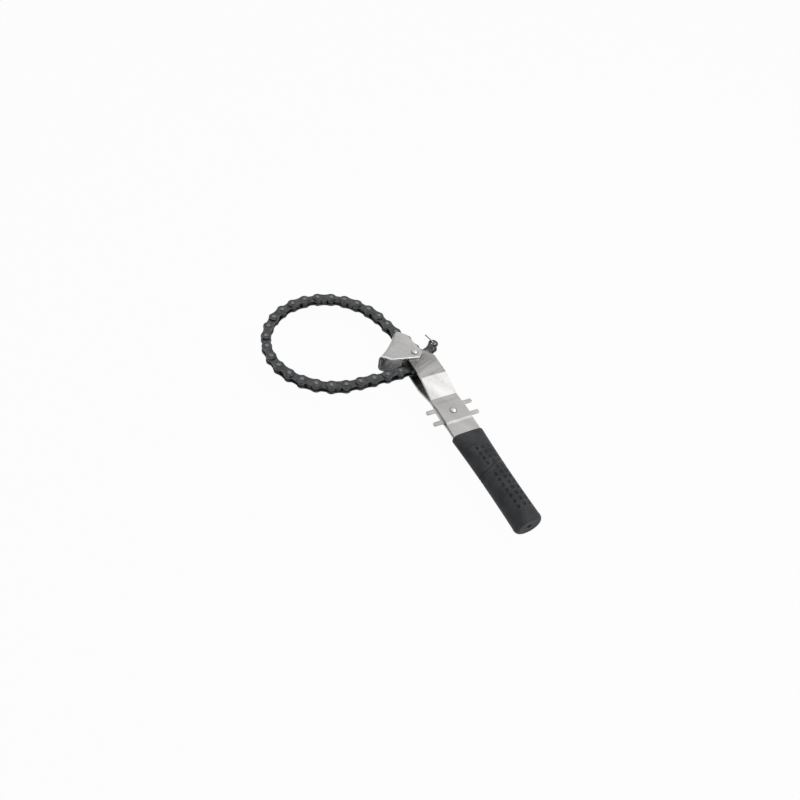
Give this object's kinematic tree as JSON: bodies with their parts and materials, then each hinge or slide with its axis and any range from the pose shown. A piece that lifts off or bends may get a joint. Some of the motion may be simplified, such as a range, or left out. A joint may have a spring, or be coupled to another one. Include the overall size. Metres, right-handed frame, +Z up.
{
  "type": "chain oil filter wrench",
  "caption": "Chain oil filter wrench: a roller chain loops round a filter, threads through a forked steel handle with a swivelling channel head and hooks on side prongs",
  "frame": {"origin": "the middle of the base of the whole wrench's bounding box, as it lies flat", "axes": "+X along the handle towards the grip's end, +Z up along the pivot rivet and every chain pin"},
  "size_m": [0.2936, 0.1508, 0.0247],
  "materials": {
    "chain_steel": "blackened and oiled",
    "plated_steel": "dull zinc plate",
    "grip_rubber": "matt moulded",
    "wire_steel": "bright wire"
  },
  "bodies": {
    "handle": {"upper_strip": "plated_steel", "lower_strip": "plated_steel", "hook_plate": "plated_steel", "hook_rivet": "plated_steel", "pivot_rivet": "plated_steel", "pivot_spacers": "plated_steel", "rubber_grip": "grip_rubber"},
    "head": {"swivel_head": "plated_steel"},
    "chain_01": {"link_01": "chain_steel"},
    "chain_02": {"link_02": "chain_steel"},
    "chain_03": {"link_03": "chain_steel"},
    "chain_04": {"link_04": "chain_steel"},
    "chain_05": {"link_05": "chain_steel"},
    "chain_06": {"link_06": "chain_steel"},
    "chain_07": {"link_07": "chain_steel"},
    "chain_08": {"link_08": "chain_steel"},
    "chain_09": {"link_09": "chain_steel"},
    "chain_10": {"link_10": "chain_steel"},
    "chain_11": {"link_11": "chain_steel"},
    "chain_12": {"link_12": "chain_steel"},
    "chain_13": {"link_13": "chain_steel"},
    "chain_14": {"link_14": "chain_steel"},
    "chain_15": {"link_15": "chain_steel"},
    "chain_16": {"link_16": "chain_steel"},
    "chain_17": {"link_17": "chain_steel"},
    "chain_18": {"link_18": "chain_steel"},
    "chain_19": {"link_19": "chain_steel"},
    "chain_20": {"link_20": "chain_steel"},
    "chain_21": {"link_21": "chain_steel"},
    "chain_22": {"link_22": "chain_steel"},
    "chain_23": {"link_23": "chain_steel"},
    "chain_24": {"link_24": "chain_steel"},
    "chain_25": {"link_25": "chain_steel"},
    "chain_26": {"link_26": "chain_steel"},
    "chain_27": {"link_27": "chain_steel"},
    "chain_28": {"link_28": "chain_steel"},
    "chain_29": {"link_29": "chain_steel"},
    "chain_30": {"link_30": "chain_steel"},
    "chain_31": {"link_31": "chain_steel"},
    "chain_32": {"link_32": "chain_steel", "cotter_pin": "wire_steel"}
  },
  "joints": [
    {"name": "head_swivel", "type": "hinge", "parent": "handle", "child": "head", "pos_m": [-0.03921, 0.04566, 0.01235], "axis": [0, 0, 1], "range_deg": [-55, 40]},
    {"name": "chain_joint_01", "type": "hinge", "parent": "head", "child": "chain_01", "pos_m": [-0.03921, 0.04566, 0.01235], "axis": [0, 0, 1], "range_deg": [-10, 0]},
    {"name": "chain_joint_02", "type": "hinge", "parent": "chain_01", "child": "chain_02", "pos_m": [-0.05013, 0.05215, 0.01235], "axis": [0, 0, 1], "range_deg": [-3, 0]},
    {"name": "chain_joint_03", "type": "hinge", "parent": "chain_02", "child": "chain_03", "pos_m": [-0.06267, 0.05014, 0.01235], "axis": [0, 0, 1], "range_deg": [-2, 0]},
    {"name": "chain_joint_04", "type": "hinge", "parent": "chain_03", "child": "chain_04", "pos_m": [-0.07441, 0.0453, 0.01235], "axis": [0, 0, 1], "range_deg": [-1.5, 1]},
    {"name": "chain_joint_05", "type": "hinge", "parent": "chain_04", "child": "chain_05", "pos_m": [-0.08673, 0.0422, 0.01235], "axis": [0, 0, 1], "range_deg": [-1, 2]},
    {"name": "chain_joint_06", "type": "hinge", "parent": "chain_05", "child": "chain_06", "pos_m": [-0.09912, 0.03939, 0.01235], "axis": [0, 0, 1], "range_deg": [-1, 2]},
    {"name": "chain_joint_07", "type": "hinge", "parent": "chain_06", "child": "chain_07", "pos_m": [-0.11076, 0.03433, 0.01235], "axis": [0, 0, 1], "range_deg": [-0.8, 2]},
    {"name": "chain_joint_08", "type": "hinge", "parent": "chain_07", "child": "chain_08", "pos_m": [-0.12127, 0.02719, 0.01235], "axis": [0, 0, 1], "range_deg": [-0.8, 1]},
    {"name": "chain_joint_09", "type": "hinge", "parent": "chain_08", "child": "chain_09", "pos_m": [-0.13026, 0.01823, 0.01235], "axis": [0, 0, 1], "range_deg": [-0.8, 1]},
    {"name": "chain_joint_10", "type": "hinge", "parent": "chain_09", "child": "chain_10", "pos_m": [-0.13696, 0.00743, 0.01235], "axis": [0, 0, 1], "range_deg": [-0.8, 0]},
    {"name": "chain_joint_11", "type": "hinge", "parent": "chain_10", "child": "chain_11", "pos_m": [-0.14099, -0.00461, 0.01235], "axis": [0, 0, 1], "range_deg": [-0.8, 0]},
    {"name": "chain_joint_12", "type": "hinge", "parent": "chain_11", "child": "chain_12", "pos_m": [-0.14214, -0.01726, 0.01235], "axis": [0, 0, 1], "range_deg": [-1, 0]},
    {"name": "chain_joint_13", "type": "hinge", "parent": "chain_12", "child": "chain_13", "pos_m": [-0.14035, -0.02983, 0.01235], "axis": [0, 0, 1], "range_deg": [-1.2, 0]},
    {"name": "chain_joint_14", "type": "hinge", "parent": "chain_13", "child": "chain_14", "pos_m": [-0.13571, -0.04166, 0.01235], "axis": [0, 0, 1], "range_deg": [-1.5, 0]},
    {"name": "chain_joint_15", "type": "hinge", "parent": "chain_14", "child": "chain_15", "pos_m": [-0.12848, -0.0521, 0.01235], "axis": [0, 0, 1], "range_deg": [-3, 0]},
    {"name": "chain_joint_16", "type": "hinge", "parent": "chain_15", "child": "chain_16", "pos_m": [-0.11906, -0.06061, 0.01235], "axis": [0, 0, 1], "range_deg": [-5, 0]},
    {"name": "chain_joint_17", "type": "hinge", "parent": "chain_16", "child": "chain_17", "pos_m": [-0.10794, -0.06675, 0.01235], "axis": [0, 0, 1], "range_deg": [-5, 0]},
    {"name": "chain_joint_18", "type": "hinge", "parent": "chain_17", "child": "chain_18", "pos_m": [-0.09572, -0.07019, 0.01235], "axis": [0, 0, 1], "range_deg": [-7, 0]},
    {"name": "chain_joint_19", "type": "hinge", "parent": "chain_18", "child": "chain_19", "pos_m": [-0.08303, -0.07074, 0.01235], "axis": [0, 0, 1], "range_deg": [-8, 0]},
    {"name": "chain_joint_20", "type": "hinge", "parent": "chain_19", "child": "chain_20", "pos_m": [-0.07055, -0.06838, 0.01235], "axis": [0, 0, 1], "range_deg": [-8, 0]},
    {"name": "chain_joint_21", "type": "hinge", "parent": "chain_20", "child": "chain_21", "pos_m": [-0.05894, -0.06324, 0.01235], "axis": [0, 0, 1], "range_deg": [-8, 0]},
    {"name": "chain_joint_22", "type": "hinge", "parent": "chain_21", "child": "chain_22", "pos_m": [-0.0487, -0.05572, 0.01235], "axis": [0, 0, 1], "range_deg": [-8, 0]},
    {"name": "chain_joint_23", "type": "hinge", "parent": "chain_22", "child": "chain_23", "pos_m": [-0.04032, -0.04618, 0.01235], "axis": [0, 0, 1], "range_deg": [-8, 0]},
    {"name": "chain_joint_24", "type": "hinge", "parent": "chain_23", "child": "chain_24", "pos_m": [-0.03418, -0.03506, 0.01235], "axis": [0, 0, 1], "range_deg": [-8, 0]},
    {"name": "chain_joint_25", "type": "hinge", "parent": "chain_24", "child": "chain_25", "pos_m": [-0.03058, -0.02288, 0.01235], "axis": [0, 0, 1], "range_deg": [-8, 0]},
    {"name": "chain_joint_26", "type": "hinge", "parent": "chain_25", "child": "chain_26", "pos_m": [-0.02967, -0.01022, 0.01235], "axis": [0, 0, 1], "range_deg": [-8, 0]},
    {"name": "chain_joint_27", "type": "hinge", "parent": "chain_26", "child": "chain_27", "pos_m": [-0.02911, 0.00247, 0.01235], "axis": [0, 0, 1], "range_deg": [-8, 0]},
    {"name": "chain_joint_28", "type": "hinge", "parent": "chain_27", "child": "chain_28", "pos_m": [-0.02891, 0.01517, 0.01235], "axis": [0, 0, 1], "range_deg": [-8, 0]},
    {"name": "chain_joint_29", "type": "hinge", "parent": "chain_28", "child": "chain_29", "pos_m": [-0.02907, 0.02787, 0.01235], "axis": [0, 0, 1], "range_deg": [-20, 1]},
    {"name": "chain_joint_30", "type": "hinge", "parent": "chain_29", "child": "chain_30", "pos_m": [-0.02872, 0.04056, 0.01235], "axis": [0, 0, 1], "range_deg": [-30, 2]},
    {"name": "chain_joint_31", "type": "hinge", "parent": "chain_30", "child": "chain_31", "pos_m": [-0.03157, 0.05294, 0.01235], "axis": [0, 0, 1], "range_deg": [-45, 4]},
    {"name": "chain_joint_32", "type": "hinge", "parent": "chain_31", "child": "chain_32", "pos_m": [-0.04165, 0.06067, 0.01235], "axis": [0, 0, 1], "range_deg": [-45, 20]}
  ]
}
